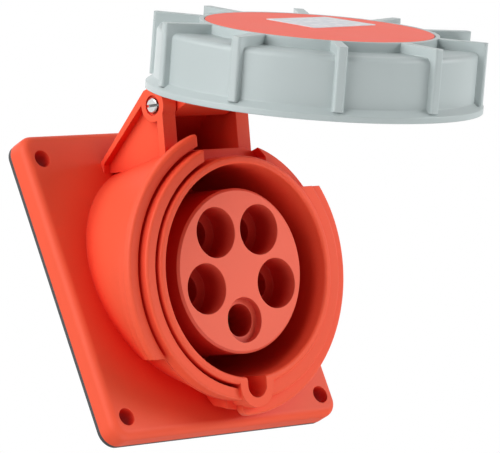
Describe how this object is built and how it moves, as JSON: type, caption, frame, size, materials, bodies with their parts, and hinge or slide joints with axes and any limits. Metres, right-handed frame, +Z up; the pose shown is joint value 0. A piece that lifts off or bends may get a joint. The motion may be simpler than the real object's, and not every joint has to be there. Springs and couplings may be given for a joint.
{
  "type": "panel socket",
  "caption": "Angled panel socket for a round multi-pin power plug: stepped bayonet collar, keyway, square flange with gasket, and a hinged sealing lid with a ribbed locking ring.",
  "frame": {"origin": "centre of the four fixing holes, in the plane of the gasket's back", "axes": "+Z up the panel, -Y out of the panel towards the user, +X to the right seen from the front"},
  "size_m": [0.0972, 0.1627, 0.1153],
  "materials": {
    "red_moulding": "satin moulded polyamide",
    "carrier_plastic": "matt moulded polyamide",
    "block_plastic": "matt moulded polyamide",
    "disc_plastic": "satin moulded polyamide",
    "grey_moulding": "satin moulded polyamide",
    "seal_rubber": "matt",
    "contact_brass": "turned",
    "spring_steel": "rolled",
    "screw_steel": "zinc plated"
  },
  "bodies": {
    "socket": {"housing": "red_moulding", "flange_gasket": "seal_rubber", "hinge_pin": "screw_steel", "contact_carrier": "carrier_plastic", "terminal_block": "block_plastic", "terminal_screws": "screw_steel", "carrier_screw": "screw_steel", "carrier_seal": "seal_rubber", "contact_line_1": "contact_brass", "contact_line_2": "contact_brass", "contact_line_3": "contact_brass", "contact_neutral": "contact_brass", "contact_earth": "contact_brass", "contact_spring_line_1": "spring_steel", "contact_spring_line_2": "spring_steel", "contact_spring_line_3": "spring_steel", "contact_spring_neutral": "spring_steel", "contact_spring_earth": "spring_steel"},
    "lid": {"lid_body": "red_moulding", "lid_disc": "disc_plastic", "lid_seal": "seal_rubber"},
    "ring": {"locking_ring": "grey_moulding"}
  },
  "joints": [
    {"name": "lid_hinge", "type": "hinge", "parent": "socket", "child": "lid", "pos_m": [0, -0.03718, 0.04383], "axis": [-1, 0, 0], "range_deg": [-76.46, 12]},
    {"name": "ring_turn", "type": "hinge", "parent": "lid", "child": "ring", "pos_m": [0, -0.09565, 0.04022], "axis": [0, -0.5589, 0.8292], "range_deg": [-37, 0]}
  ]
}
